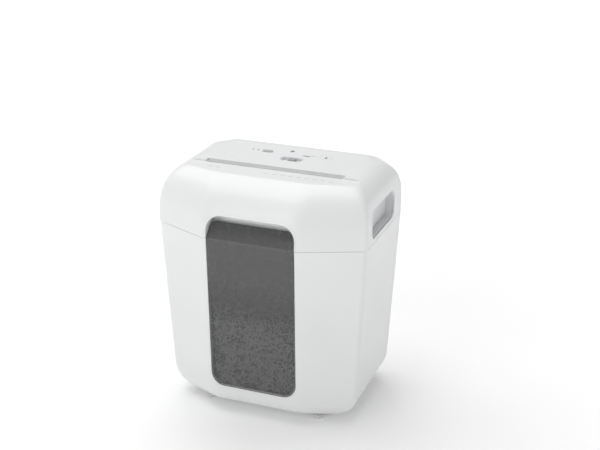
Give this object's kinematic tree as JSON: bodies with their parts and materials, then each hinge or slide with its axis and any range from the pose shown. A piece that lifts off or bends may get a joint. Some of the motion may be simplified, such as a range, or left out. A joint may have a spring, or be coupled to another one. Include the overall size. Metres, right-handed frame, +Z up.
{
  "type": "paper shredder",
  "caption": "Desk-side paper shredder: a lift-off cross-cut head with hand holds, seated on a white waste bin with a smoked front window and a heap of shreds.",
  "frame": {"origin": "on the floor, at the middle of the footprint, with the head seated on the bin", "axes": "+Z up, the window and arch face -Y, +X to the viewer's right from the front"},
  "size_m": [0.34, 0.2572, 0.3952],
  "materials": {
    "white_shell": "satin",
    "pale_trim": "satin",
    "smoked_window": "gloss",
    "foot_plastic": "matte",
    "paper_shreds": "matte",
    "lens": "gloss",
    "black_plastic": "matte",
    "control_grey": "satin",
    "frame_steel": "satin",
    "cutter_steel": "satin",
    "screw_steel": "polished",
    "bronze": "satin",
    "gear_nylon": "satin",
    "magnet": "matte",
    "copper_winding": "satin",
    "circuit_board": "satin",
    "interlock_orange": "satin"
  },
  "bodies": {
    "bin": {"bin_shell": "white_shell", "bin_window": "smoked_window", "bin_feet": "foot_plastic", "interlock_post": "white_shell", "shredded_paper": "paper_shreds"},
    "head": {"top_cover": "white_shell", "arch_liner": "white_shell", "lower_housing": "white_shell", "centre_panel": "white_shell", "left_grip": "pale_trim", "right_grip": "pale_trim", "paper_throat": "pale_trim", "switch_tray": "pale_trim", "status_lenses": "lens", "feed_sensor": "black_plastic", "cord_gland": "black_plastic", "left_side_plate": "frame_steel", "right_side_plate": "frame_steel", "gearbox_plate": "frame_steel", "gearbox_standoffs": "frame_steel", "tie_rods": "frame_steel", "shaft_bushes": "bronze", "front_comb": "black_plastic", "rear_comb": "black_plastic", "idler_pin": "frame_steel", "motor_can": "frame_steel", "motor_end_cap": "black_plastic", "motor_magnets": "magnet", "motor_screws": "screw_steel", "control_board": "circuit_board", "board_parts": "black_plastic", "board_posts": "white_shell", "interlock_switch": "black_plastic", "cover_screws": "screw_steel", "frame_screws": "screw_steel"},
    "rear_cutter": {"rear_shaft": "frame_steel", "rear_cutters": "cutter_steel", "rear_timing_gear": "frame_steel", "drive_gear": "gear_nylon"},
    "front_cutter": {"front_shaft": "frame_steel", "front_cutters": "cutter_steel", "front_timing_gear": "frame_steel"},
    "idler": {"idler_gear": "gear_nylon"},
    "rotor": {"motor_rotor": "copper_winding", "motor_pinion": "bronze", "cooling_fan": "black_plastic"},
    "mode_slider": {"mode_slider": "control_grey"},
    "reverse_button": {"reverse_button": "control_grey"},
    "interlock_plunger": {"interlock_plunger": "interlock_orange"}
  },
  "joints": [
    {"name": "head_lift", "type": "slide", "parent": "bin", "child": "head", "axis": [0, 0, 1], "range_m": [0, 0.094]},
    {"name": "rear_cutter_spin", "type": "hinge", "parent": "head", "child": "rear_cutter", "pos_m": [0, -0.01, 0.32], "axis": [1, 0, 0], "continuous": true},
    {"name": "front_cutter_spin", "type": "hinge", "parent": "head", "child": "front_cutter", "pos_m": [0, -0.038, 0.32], "axis": [1, 0, 0], "continuous": true},
    {"name": "idler_spin", "type": "hinge", "parent": "head", "child": "idler", "pos_m": [0.13, 0.02759, 0.33368], "axis": [1, 0, 0], "continuous": true},
    {"name": "motor_spin", "type": "hinge", "parent": "head", "child": "rotor", "pos_m": [0.07, 0.05713, 0.32847], "axis": [1, 0, 0], "continuous": true},
    {"name": "mode_slide", "type": "slide", "parent": "head", "child": "mode_slider", "axis": [1, 0, 0], "range_m": [-0.006, 0.006]},
    {"name": "reverse_press", "type": "slide", "parent": "head", "child": "reverse_button", "axis": [0, 0, -1], "range_m": [0, 0.0015], "stiffness_N_per_m": 500},
    {"name": "interlock_travel", "type": "slide", "parent": "head", "child": "interlock_plunger", "axis": [0, 0, -1], "range_m": [0, 0.004]}
  ],
  "couplings": [
    {"joint": "front_cutter_spin", "follows": "rear_cutter_spin", "ratio": -1},
    {"joint": "idler_spin", "follows": "rear_cutter_spin", "ratio": -3.5714},
    {"joint": "motor_spin", "follows": "rear_cutter_spin", "ratio": 14.286},
    {"joint": "interlock_travel", "follows": "head_lift", "ratio": 0.041489}
  ]
}
